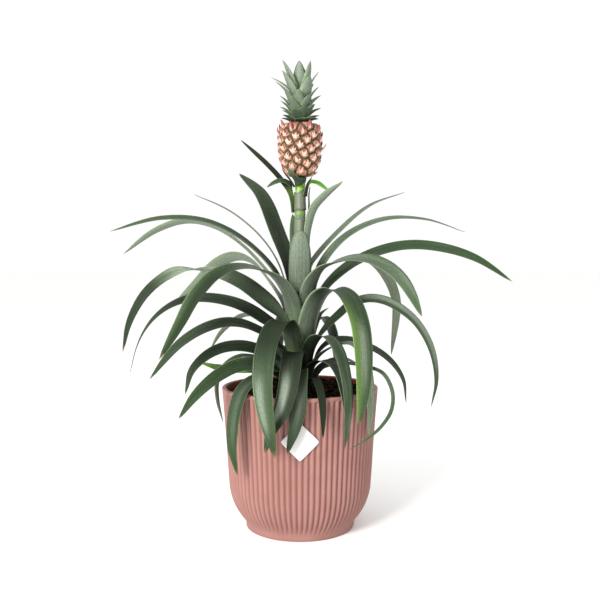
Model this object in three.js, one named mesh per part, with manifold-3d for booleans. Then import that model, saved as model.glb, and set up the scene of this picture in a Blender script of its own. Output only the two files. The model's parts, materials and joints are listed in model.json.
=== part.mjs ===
// Potted ornamental pineapple: a ribbed plastic pot, its potting soil, and a rosette of arching
// strap leaves round one stem, which carries a small fruit with a leafy crown.
// Millimetres, +Z up, origin at the middle of the pot's flat underside, front towards -Y.
import * as THREE from "three";
import { mergeVertices } from "three/addons/utils/BufferGeometryUtils.js";
import Module from "manifold-3d";

// Pot
const POT_HEIGHT = 126;
const POT_RIM_RADIUS = 70;
const POT_FOOT_RADIUS = 48.5;
const POT_WALL = 3.2;
const POT_FLOOR = 4;
const RIB_COUNT = 80;
const RIB_DEPTH = 1.4;
const RIM_LIP = 4;

// Soil
const SOIL_EDGE = 116;
const SOIL_MIDDLE = 120;
const GAP = 0.3;

// Stem and fruit stalk
const STEM_BOTTOM = 92;
const STEM_RADIUS = 8.6;
const FRUIT_BOTTOM = 313.4;
const FRUIT_TOP = 360;
const FRUIT_RADIUS = 19.2;
const EYES_PER_ROW = 11;
const EYE_ROWS = 8;
const EYE_RELIEF = 1.6;

// Leaves: thickness at foot and tip, how far a foot stands off the stem, and the blade's channel,
// whose half angle (radians) starts wrapped round the stem and has opened by OPENED_AT of its length
const LEAF_THICKNESS = 1.2;
const TIP_THICKNESS = 0.6;
const MARGIN_THINNESS = 0.6;
const SEAT_CLEARANCE = 2.2;
const TIGHTEST_WRAP = 0.85;
const OPEN_CHANNEL = 0.4;
const OPENED_AT = 0.35;
const ROLLED_AT = 0.2;
const RING_SPACING = 15;
const FEWEST_RINGS = 5;
const LAST_RING_AT = 0.97;

// Label stuck on the front of the pot
const LABEL_HALF_DIAGONAL = 16.5;
const LABEL_HEIGHT = 90;
const LABEL_THICKNESS = 0.5;

const { degToRad, lerp, smoothstep } = THREE.MathUtils;
const wasm = await Module();
wasm.setup();
const plant = new THREE.Group();

const FINISHES = {
  pot: { color: 0xc98f85, roughness: 0.6 },
  soil: { color: 0x1d1512, roughness: 1 },
  stem: { color: 0x8c9c84, roughness: 0.6 },
  fruit: { color: 0xc98a74, roughness: 0.65 },
  crown: { color: 0x7f9181, roughness: 0.55 },
  grey: { color: 0x6f7d6f, roughness: 0.5 },
  green: { color: 0x4a6340, roughness: 0.5 },
  dark: { color: 0x2f4230, roughness: 0.45 },
  pale: { color: 0xa0ad98, roughness: 0.6 },
  lime: { color: 0x6a9a3a, roughness: 0.5 },
  label: { color: 0xf4f4f2, roughness: 0.5 },
};

function addPiece(name, geometry, finish) {
  const mesh = new THREE.Mesh(
    geometry,
    new THREE.MeshStandardMaterial({ metalness: 0, ...FINISHES[finish] }),
  );
  mesh.name = name;
  plant.add(mesh);
}

// A solid of revolution about +Z from [radius, height] pairs listed up the outside.
function turned(profile, segments) {
  const outline = profile.map(([r, z]) => new THREE.Vector2(r, z));
  return new THREE.LatheGeometry(outline, segments).rotateX(Math.PI / 2);
}

// ---- Pot: straight flared side, round bottom edge, short foot, flutes below a plain lip ----
const POT_OUTSIDE = [
  [POT_FOOT_RADIUS, 0],
  [POT_FOOT_RADIUS + 0.5, 5],
  [51.5, 9],
  [56.2, 15.5],
  [61, 25],
  [63.8, 36],
  [POT_RIM_RADIUS - 0.2, POT_HEIGHT - RIM_LIP - 2],
  [POT_RIM_RADIUS, POT_HEIGHT - RIM_LIP],
  [POT_RIM_RADIUS, POT_HEIGHT - 1],
  [POT_RIM_RADIUS - 1, POT_HEIGHT],
];
const POT_INSIDE = [
  [POT_RIM_RADIUS - POT_WALL - 0.6, POT_HEIGHT],
  [POT_RIM_RADIUS - POT_WALL - 0.6, POT_HEIGHT - 6],
  [64 - POT_WALL, 40],
  [57 - POT_WALL, 19],
  [46, POT_FLOOR + 4],
  [40, POT_FLOOR],
];
const FLUTED_ROWS = { from: 3, to: 7 };

function potGeometry() {
  const profile = [[0, 0], ...POT_OUTSIDE, ...POT_INSIDE, [0, POT_FLOOR]];
  const columns = 2 * RIB_COUNT;
  const geometry = turned(profile, columns);
  const position = geometry.getAttribute("position");
  for (let column = 1; column < columns; column += 2) {
    for (let row = FLUTED_ROWS.from; row <= FLUTED_ROWS.to; row += 1) {
      const vertex = column * profile.length + row;
      const shrink = 1 - RIB_DEPTH / profile[row][0];
      position.setX(vertex, position.getX(vertex) * shrink);
      position.setY(vertex, position.getY(vertex) * shrink);
    }
  }
  return geometry;
}

// ---- Soil: fills the pot, mounded towards the middle, with the stem rooted in it ----
const STEM_PROFILE = [
  [7, STEM_BOTTOM],
  [STEM_RADIUS, 108],
  [STEM_RADIUS, 190],
  [7.4, 226],
  [5, 258],
  [4.4, 284],
  [4.2, 304],
  [5.2, FRUIT_BOTTOM - GAP],
];

function stemRadius(height) {
  const top = STEM_PROFILE.findIndex(([, z]) => z >= height);
  if (top <= 0) return STEM_PROFILE[0][0];
  const [r0, z0] = STEM_PROFILE[top - 1];
  const [r1, z1] = STEM_PROFILE[top];
  return r0 + ((r1 - r0) * (height - z0)) / (z1 - z0);
}

function soilGeometry() {
  const bore = STEM_RADIUS + GAP;
  const outside = POT_INSIDE.slice(1)
    .reverse()
    .map(([r, z]) => [r - 2 * GAP, z + GAP]);
  outside.pop();
  return turned(
    [
      [0, POT_FLOOR + GAP],
      ...outside,
      [POT_RIM_RADIUS - POT_WALL - 1.7, SOIL_EDGE],
      [44, SOIL_EDGE + 1.5],
      [20, SOIL_MIDDLE - 0.5],
      [bore, SOIL_MIDDLE],
      [bore, 107],
      [bore - 1.4, STEM_BOTTOM - GAP],
      [0, STEM_BOTTOM - GAP],
    ],
    64,
  );
}

function stemGeometry() {
  return turned([[0, STEM_BOTTOM], ...STEM_PROFILE, [0, FRUIT_BOTTOM - GAP]], 20);
}

// ---- Blades: a channelled strap that tapers to a point, lofted along its midrib ----
const TAPER = { sharpness: 4, fullness: 0.72 };

// Half width along the blade as a share of its widest: 1 at the foot, 0 at the tip.
function swell(u, fullness) {
  return (1 - u ** TAPER.sharpness) ** fullness;
}

// The value at share u along evenly spaced values.
function along(values, u) {
  const place = u * (values.length - 1);
  const before = Math.min(Math.floor(place), values.length - 2);
  return lerp(values[before], values[before + 1], place - before);
}

function bladeGeometry(midrib, { width, fold, roll = [0, 0], fullness = TAPER.fullness, stations }) {
  const rings = stations ?? Math.max(FEWEST_RINGS, Math.round(midrib.getLength() / RING_SPACING));
  const vertices = [];
  for (let ring = 0; ring < rings; ring += 1) {
    const u = (LAST_RING_AT * ring) / (rings - 1);
    const centre = midrib.getPointAt(u);
    const heading = midrib.getTangentAt(u);
    const side = new THREE.Vector3(-centre.y, centre.x, 0).normalize();
    side.addScaledVector(heading, -side.dot(heading)).normalize();
    const turn = smoothstep(u, 0, ROLLED_AT) * along(roll, u);
    side.applyAxisAngle(heading, degToRad(turn));
    const inward = new THREE.Vector3().crossVectors(heading, side);
    const half = (width / 2) * swell(u, fullness);
    const opening = lerp(fold, OPEN_CHANNEL, Math.min(u / OPENED_AT, 1));
    const bend = half / opening;
    const thick = lerp(LEAF_THICKNESS, TIP_THICKNESS, u);
    const margin = MARGIN_THINNESS * thick;
    const across = (v, depth) => {
      const angle = opening * v;
      return centre
        .clone()
        .addScaledVector(side, (bend + depth) * Math.sin(angle))
        .addScaledVector(inward, bend - (bend + depth) * Math.cos(angle));
    };
    vertices.push(across(-1, 0), across(0, 0), across(1, 0));
    vertices.push(across(1, margin), across(0, thick), across(-1, margin));
  }
  const tip = vertices.push(midrib.getPointAt(1)) - 1;
  const faces = [[0, 1, 4], [0, 4, 5], [1, 2, 3], [1, 3, 4]];
  for (let ring = 0; ring < rings - 1; ring += 1) {
    for (let k = 0; k < 6; k += 1) {
      const a = 6 * ring + k;
      const b = 6 * ring + ((k + 1) % 6);
      faces.push([a, a + 6, b], [b, a + 6, b + 6]);
    }
  }
  const last = 6 * (rings - 1);
  for (let k = 0; k < 6; k += 1) faces.push([last + k, tip, last + ((k + 1) % 6)]);
  const geometry = new THREE.BufferGeometry().setFromPoints(vertices);
  geometry.setIndex(faces.flat());
  geometry.computeVertexNormals();
  return geometry;
}

// A midrib from [reach, height, swing] triples: reach is measured out from the stem's middle in
// the leaf's own direction, which swing turns by some degrees.
function midribCurve(azimuth, path) {
  const points = path.map(([reach, height, swing = 0]) => {
    const angle = degToRad(azimuth + swing);
    return new THREE.Vector3(reach * Math.cos(angle), reach * Math.sin(angle), height);
  });
  return new THREE.CatmullRomCurve3(points, false, "centripetal");
}

function stemLeafGeometry({ foot, azimuth, path, ...blade }) {
  const seat = stemRadius(foot) + SEAT_CLEARANCE;
  const fold = Math.min(TIGHTEST_WRAP, blade.width / 2 / seat);
  return bladeGeometry(midribCurve(azimuth, [[seat, foot], ...path]), { ...blade, fold });
}

// Each leaf from the top of the rosette down: foot is the height where it leaves the stem, azimuth
// its direction (0 right, 90 back, 180 left, 270 front), width its widest, roll its turn about its
// own length near the stem and at the tip, and path its midrib.
const LEAVES = [
  { foot: 282, azimuth: 165, width: 8, roll: [-20, -40], tone: "dark",
    path: [[8, 296], [15, 308], [28, 323], [56, 349]] },
  { foot: 250, azimuth: 325, width: 10, roll: [0, -40], tone: "pale",
    path: [[11, 278], [20, 291], [45, 307]] },
  { foot: 232, azimuth: 112, width: 12, roll: [0, 0], tone: "grey",
    path: [[11, 250], [14, 266], [18, 282]] },
  { foot: 209, azimuth: 270, width: 21, roll: [0, 0], fullness: 0.4, tone: "grey",
    path: [[12, 226], [12, 245], [10, 266]] },
  { foot: 216, azimuth: 134, width: 19, roll: [0, -20], tone: "dark",
    path: [[16, 236], [32, 267], [52, 300], [85, 324]] },
  { foot: 217, azimuth: 46, width: 7, roll: [10, 10], tone: "pale",
    path: [[12, 234], [27, 248], [54, 268], [97, 293], [157, 311]] },
  { foot: 204, azimuth: 194, width: 7, roll: [-15, -20], tone: "dark",
    path: [[15, 226], [28, 251], [46, 270], [66, 284], [94, 296]] },
  { foot: 202, azimuth: 19, width: 10, roll: [30, 20], tone: "grey",
    path: [[14, 222], [29, 247], [50, 265], [85, 278], [128, 278], [169, 267]] },
  { foot: 194, azimuth: 199, width: 15, roll: [-30, -20], tone: "green",
    path: [[17, 217], [33, 240], [59, 261], [89, 273], [125, 274], [166, 263]] },
  { foot: 190, azimuth: 305, width: 20, roll: [0, 40], tone: "grey",
    path: [[16, 214], [27, 231, 8], [51, 240, 20], [74, 238, 25], [93, 226, 27], [106, 208, 28],
      [114, 192, 28]] },
  { foot: 187, azimuth: 3, width: 17, roll: [20, 50], tone: "green",
    path: [[20, 209], [46, 235], [82, 250], [115, 252], [157, 242], [194, 220]] },
  { foot: 190, azimuth: 155, width: 12, roll: [30, 30], tone: "pale",
    path: [[18, 212], [37, 233], [60, 254], [90, 271], [122, 277], [158, 268], [196, 246]] },
  { foot: 181, azimuth: 237, width: 21, roll: [-5, -30], tone: "green",
    path: [[16, 202], [31, 223, -8], [56, 233, -16], [83, 229, -20], [107, 209, -20],
      [122, 186, -20], [140, 160, -20]] },
  { foot: 176, azimuth: 136, width: 17, roll: [30, 50], tone: "pale",
    path: [[16, 191], [34, 214], [62, 237], [88, 243], [118, 235], [148, 216], [187, 193]] },
  { foot: 173, azimuth: 38, width: 15, roll: [-10, -50], tone: "pale",
    path: [[18, 196], [36, 218], [62, 234], [86, 240], [110, 222], [122, 198], [120, 172],
      [115, 145]] },
  { foot: 167, azimuth: 84, width: 16, roll: [0, 0], tone: "green",
    path: [[18, 188], [36, 213], [62, 226], [92, 210], [112, 180], [118, 150]] },
  { foot: 171, azimuth: 193, width: 15, roll: [50, 75, 80, -60, -75, -70], tone: "grey",
    path: [[16, 186], [35, 207], [60, 224], [89, 231], [112, 229], [136, 211], [150, 186],
      [156, 160]] },
  { foot: 166, azimuth: 315, width: 27, roll: [0, 0], tone: "green",
    path: [[15, 188], [26, 207], [41, 214], [55, 209], [67, 192], [75, 168, -2], [79, 140, -4],
      [80, 120, -6], [80, 103, -8]] },
  { foot: 163, azimuth: 31, width: 5, roll: [25, 30], tone: "pale",
    path: [[17, 180], [24, 193], [31, 196]] },
  { foot: 162, azimuth: 178, width: 15, roll: [-45, -30], fullness: 2.2, tone: "dark",
    path: [[15, 173], [31, 185], [55, 199], [85, 205], [112, 201], [136, 183], [149, 160],
      [155, 137]] },
  { foot: 156, azimuth: 146, width: 8, roll: [30, 30], tone: "pale",
    path: [[17, 171], [42, 185], [62, 188], [82, 178], [98, 164], [106, 152]] },
  { foot: 154, azimuth: 350, width: 14, roll: [35, 30], tone: "green",
    path: [[17, 170], [33, 188], [50, 202], [68, 205], [85, 199], [103, 185], [117, 160],
      [121, 133], [117, 110]] },
  { foot: 148, azimuth: 66, width: 13, roll: [0, 0], tone: "green",
    path: [[17, 171], [36, 184], [58, 184], [78, 170], [90, 146], [95, 120]] },
  { foot: 150, azimuth: 248, width: 21, roll: [0, 0], tone: "green",
    path: [[20, 172], [36, 186], [58, 182], [76, 160], [88, 128, 3], [94, 98, 8], [95, 83, 10]] },
  { foot: 144, azimuth: 204, width: 14, roll: [-40, -30], tone: "dark",
    path: [[18, 160], [39, 177], [62, 185], [86, 182], [113, 168, 2], [139, 141, 3]] },
  { foot: 143, azimuth: 104, width: 15, roll: [0, 0], tone: "green",
    path: [[17, 161], [34, 179], [60, 186], [85, 170], [98, 140], [102, 108]] },
  { foot: 143, azimuth: 301, width: 15, roll: [0, -20], tone: "grey",
    path: [[18, 164], [34, 174], [54, 170], [68, 154], [75, 133], [78, 113, -1], [80, 85, -4]] },
  { foot: 141, azimuth: 346, width: 11, roll: [30, 20], tone: "dark",
    path: [[17, 157], [33, 169], [55, 166], [77, 155], [92, 137], [96, 114]] },
  { foot: 140, azimuth: 194, width: 12, roll: [-30, -60, -50, -45], tone: "dark",
    path: [[17, 149], [39, 160, 2], [62, 164, 3], [82, 158, 3], [97, 145, 3], [104, 123, 3]] },
  { foot: 132.5, azimuth: 263, width: 19, roll: [0, 0], tone: "dark",
    path: [[18, 151], [36, 161], [57, 156], [72, 142], [80, 120, -3], [83, 100, -10], [83, 83, -13]] },
  { foot: 137, azimuth: 330, width: 11, roll: [0, 40], tone: "pale",
    path: [[19, 154], [40, 166, -1], [56, 167, -3], [66, 157, -5], [71, 140, -5], [73, 122, -5],
      [73, 105, -5], [71, 88, -5]] },
  { foot: 136, azimuth: 166, width: 8, roll: [30, 30], tone: "pale",
    path: [[16, 146], [38, 151], [55, 152], [70, 144], [78, 125, 4], [76, 107, 5], [71, 90, 7]] },
  { foot: 128, azimuth: 186, width: 9, roll: [-60, -60], tone: "green",
    path: [[17, 137], [40, 142], [62, 142], [80, 145], [91, 149]] },
  { foot: 130, azimuth: 120, width: 12, roll: [0, 0], tone: "dark",
    path: [[18, 146], [40, 158], [62, 158], [82, 146], [92, 124], [94, 108]] },
  { foot: 130, azimuth: 216, width: 13, roll: [-15, -60, -60, -60], tone: "green",
    path: [[17, 138], [40, 148], [62, 150], [82, 144], [105, 129], [122, 110]] },
  { foot: 126, azimuth: 338, width: 6, roll: [0, 40, 60], tone: "grey",
    path: [[20, 142], [45, 149, -4], [66, 147, -4], [81, 143, -7], [91, 124, -8], [92, 108, -15],
      [89, 99, -22], [87, 91, -32], [87, 86, -42]] },
  { foot: 129, azimuth: 303, width: 11, roll: [0, 0], tone: "dark",
    path: [[18, 145], [38, 153], [56, 148], [69, 135, -2], [75, 118, -2], [76, 104, -2],
      [76, 90, -2]] },
  { foot: 121.5, azimuth: 234, width: 16, roll: [-5, -10], tone: "green",
    path: [[21, 129], [38, 137, -2], [56, 139, -5], [71, 131, -6], [80, 114, -6], [83, 98, -6],
      [83, 80, -6], [78, 60, -6]] },
  { foot: 125, azimuth: 269, width: 16, roll: [0, 0], tone: "dark",
    path: [[20, 136], [40, 146], [58, 145], [70, 134], [75, 118], [76, 100, -3], [76, 82, -7]] },
  { foot: 127, azimuth: 30, width: 9, roll: [20, 20], tone: "green",
    path: [[18, 138], [36, 147], [54, 146], [68, 136], [74, 118]] },
  { foot: 121, azimuth: 288, width: 8, roll: [0, 0], tone: "dark",
    path: [[20, 131], [42, 139, -2], [60, 138, -4], [72, 129, -4], [77, 112, -4], [77, 94, -4]] },
];

// ---- Small bracts on the fruit stalk, most of them close under the fruit ----
const BRACTS = [
  { foot: 301, azimuth: 187, width: 6, roll: [-50, -60], tone: "green",
    path: [[11, 309], [19, 310], [30, 304]] },
  { foot: 303, azimuth: 352, width: 5, roll: [50, 60], tone: "lime",
    path: [[9, 309], [15, 308.5], [27, 300]] },
  { foot: 305.5, azimuth: 262, width: 6.5, tone: "grey",
    path: [[11, 310.5, -8], [17, 314, -16], [20.5, 320, -24]] },
  { foot: 304.5, azimuth: 222, width: 3, tone: "dark",
    path: [[11, 310], [16, 314], [21, 319]] },
  { foot: 296, azimuth: 315, width: 6, roll: [0, 30], tone: "dark",
    path: [[9, 305], [12, 310], [15, 313]] },
  { foot: 302, azimuth: 95, width: 6, tone: "green", path: [[11, 309], [18, 312], [25, 311]] },
  { foot: 276, azimuth: 345, width: 5, tone: "green", path: [[8, 288], [8, 298], [9, 305]] },
];

// ---- Fruit: a barrel of rhombic eyes, each a low pyramid between shared grooves ----
function fruitRadius(t) {
  const taper = t < 0.5 ? 0.38 * (1 - 2 * t) ** 3 : 0.16 * (2 * t - 1) ** 3;
  return FRUIT_RADIUS * (1 - taper);
}

function fruitGeometry() {
  const height = FRUIT_TOP - FRUIT_BOTTOM;
  const at = (row, column, relief) => {
    const t = row / EYE_ROWS;
    const angle = ((column + (row % 2) / 2) * 2 * Math.PI) / EYES_PER_ROW;
    const r = fruitRadius(t) - EYE_RELIEF + relief;
    return new THREE.Vector3(r * Math.cos(angle), r * Math.sin(angle), FRUIT_BOTTOM + t * height);
  };
  const triangles = [];
  const foot = new THREE.Vector3(0, 0, FRUIT_BOTTOM);
  const crest = new THREE.Vector3(0, 0, FRUIT_TOP);
  for (let column = 0; column < EYES_PER_ROW; column += 1) {
    for (let row = 0; row < EYE_ROWS; row += 1) {
      const left = column - 1 + (row % 2);
      const low = at(row, column, 0);
      const sides = [at(row + 1, left, 0), at(row + 1, left + 1, 0)];
      if (row === EYE_ROWS - 1) {
        triangles.push(low, sides[1], sides[0]);
        continue;
      }
      const high = at(row + 2, column, 0);
      const eye = at(row + 1, left + 0.5, EYE_RELIEF);
      const ring = [low, sides[1], high, sides[0]];
      ring.forEach((corner, k) => triangles.push(corner, ring[(k + 1) % 4], eye));
    }
    const start = [at(0, column, 0), at(0, column + 1, 0)];
    triangles.push(start[0], start[1], at(1, column, 0));
    triangles.push(foot, start[1], start[0]);
    triangles.push(crest, at(EYE_ROWS, column, 0), at(EYE_ROWS, column + 1, 0));
  }
  return new THREE.BufferGeometry().setFromPoints(triangles);
}

// ---- Crown: pointed leaves joined into one core on top of the fruit ----
const CROWN_FOOT = FRUIT_TOP + GAP;
const CROWN_CORE = [[0, CROWN_FOOT], [9, CROWN_FOOT], [9.5, 368], [8, 382], [4.5, 396], [0, 403]];
const CROWN_HUG = 9.5;

// [azimuth, foot height, tip reach, tip height, width]
const CROWN_LEAVES = [
  [262, 388, 5, 415, 12], [320, 388, 12, 414, 10], [205, 384, 17, 415, 11], [215, 376, 19, 405, 12],
  [5, 384, 17, 407, 9], [184, 380, 26, 401, 8], [200, 373, 23, 396, 9], [312, 377, 13, 401, 13],
  [264, 370, 14, 388, 13], [355, 376, 17, 393, 9], [350, 369, 19, 385, 11], [186, 368, 18, 385, 10],
  [190, 364, 18, 375, 10], [352, 364, 19, 374, 11], [285, 363, 15, 373, 13], [345, 362, 18, 367, 11],
  [205, 362, 17, 367, 11], [240, 365, 15, 380, 13], [306, 366, 15, 384, 13], [235, 362, 17, 366, 11],
  [310, 362, 17, 366, 11], [75, 388, 11, 413, 11], [120, 381, 16, 403, 11], [45, 379, 17, 399, 11],
  [90, 373, 16, 391, 12], [135, 368, 18, 385, 11], [50, 367, 18, 383, 11], [105, 363, 17, 374, 12],
  [22, 364, 19, 375, 10], [155, 364, 18, 374, 10], [70, 362, 17, 368, 11],
];

function solidOf(geometry) {
  const bare = new THREE.BufferGeometry().setAttribute("position", geometry.getAttribute("position"));
  if (geometry.index) bare.setIndex(geometry.index);
  const merged = mergeVertices(bare, 1e-3);
  return new wasm.Manifold(
    new wasm.Mesh({
      numProp: 3,
      vertProperties: merged.getAttribute("position").array,
      triVerts: new Uint32Array(merged.index.array),
    }),
  );
}

function geometryOf(solid) {
  const { vertProperties, triVerts } = solid.getMesh();
  const geometry = new THREE.BufferGeometry();
  geometry.setAttribute("position", new THREE.BufferAttribute(vertProperties, 3));
  geometry.setIndex(new THREE.BufferAttribute(triVerts, 1));
  geometry.computeVertexNormals();
  return geometry;
}

function crownGeometry() {
  const blades = CROWN_LEAVES.map(([azimuth, foot, reach, height, width]) => {
    const rise = height - foot;
    const hug = Math.min(CROWN_HUG, 0.8 * reach);
    const midrib = midribCurve(azimuth, [[4, foot], [hug, foot + 0.5 * rise], [reach, height]]);
    return solidOf(bladeGeometry(midrib, { width, fold: 1, fullness: 1.1, stations: 4 }));
  });
  return geometryOf(blades.reduce((core, blade) => core.add(blade), solidOf(turned(CROWN_CORE, 12))));
}

// ---- Label: a square of stiff paper, standing on its corner, bent round the pot's side ----
const LABEL_COLUMNS = 10;
const LABEL_CORNER = 0.4;

function potSideRadius(height) {
  const [[r0, z0], [r1, z1]] = [POT_OUTSIDE[5], POT_OUTSIDE[6]];
  return r0 + ((r1 - r0) * (height - z0)) / (z1 - z0);
}

function labelGeometry() {
  const vertices = [];
  const faces = [[0, 1, 2], [0, 2, 3]];
  for (let column = 0; column <= LABEL_COLUMNS; column += 1) {
    const across = LABEL_HALF_DIAGONAL * ((2 * column) / LABEL_COLUMNS - 1);
    const half = Math.max(LABEL_CORNER, LABEL_HALF_DIAGONAL - Math.abs(across));
    const angle = across / potSideRadius(LABEL_HEIGHT) - Math.PI / 2;
    const corners = [[-half, LABEL_THICKNESS], [half, LABEL_THICKNESS], [half, 0], [-half, 0]];
    for (const [up, out] of corners) {
      const r = potSideRadius(LABEL_HEIGHT + up) + GAP + out;
      vertices.push(new THREE.Vector3(r * Math.cos(angle), r * Math.sin(angle), LABEL_HEIGHT + up));
    }
    for (let k = 0; k < 4 && column < LABEL_COLUMNS; k += 1) {
      const a = 4 * column + k;
      const b = 4 * column + ((k + 1) % 4);
      faces.push([a, a + 4, b], [b, a + 4, b + 4]);
    }
  }
  const last = 4 * LABEL_COLUMNS;
  faces.push([last, last + 2, last + 1], [last, last + 3, last + 2]);
  const geometry = new THREE.BufferGeometry().setFromPoints(vertices);
  geometry.setIndex(faces.flat());
  geometry.computeVertexNormals();
  return geometry;
}

addPiece("pot", potGeometry(), "pot");
addPiece("potting_soil", soilGeometry(), "soil");
addPiece("stem", stemGeometry(), "stem");
addPiece("fruit", fruitGeometry(), "fruit");
addPiece("crown", crownGeometry(), "crown");
addPiece("pot_label", labelGeometry(), "label");
LEAVES.forEach((leaf, index) => {
  const number = String(index + 1).padStart(2, "0");
  addPiece(`leaf_${number}`, stemLeafGeometry(leaf), leaf.tone);
});
BRACTS.forEach((bract, index) => {
  addPiece(`fruit_bract_${index + 1}`, stemLeafGeometry(bract), bract.tone);
});

export default plant;
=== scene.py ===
import json
import math
import random

import bmesh
import bpy
from mathutils import Euler, Matrix, Vector, kdtree, noise


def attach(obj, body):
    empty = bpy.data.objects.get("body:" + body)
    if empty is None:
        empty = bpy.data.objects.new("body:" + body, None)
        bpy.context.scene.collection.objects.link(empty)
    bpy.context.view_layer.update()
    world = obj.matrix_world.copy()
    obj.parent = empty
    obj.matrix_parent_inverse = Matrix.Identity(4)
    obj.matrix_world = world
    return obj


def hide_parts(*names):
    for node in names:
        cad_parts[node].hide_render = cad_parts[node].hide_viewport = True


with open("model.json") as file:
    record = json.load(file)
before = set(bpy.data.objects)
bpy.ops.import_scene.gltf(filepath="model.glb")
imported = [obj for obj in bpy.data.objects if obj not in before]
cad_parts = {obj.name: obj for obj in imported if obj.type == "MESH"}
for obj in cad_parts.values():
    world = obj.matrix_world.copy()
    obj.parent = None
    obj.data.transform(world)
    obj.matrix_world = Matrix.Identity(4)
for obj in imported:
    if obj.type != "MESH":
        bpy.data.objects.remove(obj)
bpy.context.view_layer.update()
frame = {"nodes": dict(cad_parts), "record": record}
nodes = frame["nodes"]
slot_of = {part["node"]: part["material_slot"] for part in frame["record"]["subparts"]}

MM = 0.001
TURN = 2 * math.pi
GOLDEN_ANGLE = math.radians(137.508)
# corners closer together than these are merged
CAD_WELD = 0.001 * MM
SPUN_WELD = 0.002 * MM
BLADE_WELD = 0.015 * MM
chance = random.Random(7)


# -------- helpers

def smooth(low, high, x):
    """0 below low, 1 above high, eased between."""
    t = min(max((x - low) / (high - low), 0.0), 1.0)
    return t * t * (3 - 2 * t)


def band(start, full, fading, end, x):
    """1 from full to fading, 0 before start and past end."""
    return smooth(start, full, x) * (1 - smooth(fading, end, x))


def paint(code):
    """An sRGB hex colour as linear RGBA."""
    shares = [int(code[i:i + 2], 16) / 255 for i in (1, 3, 5)]
    linear = [c / 12.92 if c <= 0.04045 else ((c + 0.055) / 1.055) ** 2.4 for c in shares]
    return (*linear, 1.0)


def add(tree, kind, inputs=None, out=0, **settings):
    """One shader node: inputs maps a socket to a value, or to the socket that feeds it. Returns the
    output named or numbered by out, or a list of outputs for a slice."""
    made = tree.nodes.new("ShaderNode" + kind)
    for key, value in settings.items():
        setattr(made, key, value)
    for key, value in (inputs or {}).items():
        if isinstance(value, bpy.types.NodeSocket):
            tree.links.new(value, made.inputs[key])
        else:
            made.inputs[key].default_value = value
    return made.outputs[out]


# settings that many nodes share: a Mix of colours, and a MapRange that eases
COLOURS = {"out": 2, "data_type": "RGBA"}
EASED = {"interpolation_type": "SMOOTHSTEP"}


def new_material(name):
    """An empty material; returns it with its node tree."""
    material = bpy.data.materials.new(name)
    material.use_nodes = True
    material.node_tree.nodes.clear()
    return material, material.node_tree


def finish_material(tree, **inputs):
    """Closes a material with one principled shader; keywords are its sockets, _ for a space."""
    sockets = {key.replace("_", " "): value for key, value in inputs.items()}
    shader = add(tree, "BsdfPrincipled", sockets)
    add(tree, "OutputMaterial", {"Surface": shader}, out=slice(0, 0))


def make_piece(name, bm, material, slot, *stands_for):
    """Turns a bmesh into a smooth-shaded piece that rides on the plant and stands for CAD nodes."""
    bmesh.ops.recalc_face_normals(bm, faces=bm.faces)
    mesh = bpy.data.meshes.new(name)
    bm.to_mesh(mesh)
    bm.free()
    mesh.materials.append(material)
    mesh.polygons.foreach_set("use_smooth", [True] * len(mesh.polygons))
    piece = bpy.data.objects.new(name, mesh)
    bpy.context.scene.collection.objects.link(piece)
    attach(piece, "root")
    if stands_for:
        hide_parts(*stands_for)
    return piece


def spun(bm, profile, steps):
    """A profile of (radius, height) in mm spun about the plant's axis."""
    corners = [bm.verts.new((r * MM, 0, z * MM)) for r, z in profile]
    edges = [bm.edges.new(pair) for pair in zip(corners, corners[1:])]
    bmesh.ops.spin(bm, geom=corners + edges, cent=(0, 0, 0), axis=(0, 0, 1), angle=TURN,
                   steps=steps, use_merge=True)
    bmesh.ops.remove_doubles(bm, verts=bm.verts, dist=SPUN_WELD)


def between(rows, x):
    """Straight interpolation in rows of (x, value); the last value holds beyond the last row."""
    for (x0, v0), (x1, v1) in zip(rows, rows[1:]):
        if x <= x1:
            return v0 + (v1 - v0) * min(max((x - x0) / (x1 - x0), 0), 1)
    return rows[-1][1]


# -------- blades

BLADE_LAYERS = ("blade_mm", "blade_share", "blade_tone")
CORNERS = 6             # of each cross-section of a CAD blade
LENS_SHARPNESS = 2.5    # how square the blade's lens section is; 2 is a plain parabola
RIM_FROM = 0.999        # share across a blade past which it is neither upper side nor underside
WAVE_LENGTH = 34 * MM   # of the slow waver in a blade's edges


def rings_of(node):
    """A CAD blade's cross-sections, foot to tip, as six corners each: top left, middle and right, then
    bottom right, middle and left. Its tip comes second."""
    bm = bmesh.new()
    bm.from_mesh(nodes[node].data)
    bmesh.ops.remove_doubles(bm, verts=bm.verts, dist=CAD_WELD)
    for start in bm.verts:
        seen, levels = {start}, [[start]]
        while levels[-1]:
            found = []
            for vertex in levels[-1]:
                for edge in vertex.link_edges:
                    other = edge.other_vert(vertex)
                    if other not in seen:
                        seen.add(other)
                        found.append(other)
            levels.append(found)
        levels.pop()
        if all(len(level) == CORNERS for level in levels[1:]):
            break
    else:
        raise ValueError(f"{node} has no blade rings")
    foot = levels.pop()
    heading = sum((v.co for v in levels[-3]), Vector()) / CORNERS
    facing = math.atan2(heading.y, heading.x)
    bearing = lambda v: (math.atan2(v.co.y, v.co.x) - facing + math.pi) % TURN
    reach = lambda v: math.hypot(v.co.x, v.co.y)
    foot.sort(key=bearing)
    left, middle, right = (sorted(foot[k:k + 2], key=reach) for k in (0, 2, 4))
    ring = [left[0], middle[0], right[0], right[1], middle[1], left[1]]
    rings = [ring]
    for level in reversed(levels[1:]):
        members = set(level)
        joined = [{e.other_vert(v) for e in v.link_edges} & members for v in ring]
        ring = [(joined[k] & joined[(k + 1) % CORNERS]).pop() for k in range(CORNERS)]
        rings.append(ring)
    placed = [[v.co.copy() for v in ring] for ring in rings]
    tip = levels[0][0].co.copy()
    bm.free()
    return placed, tip


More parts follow.
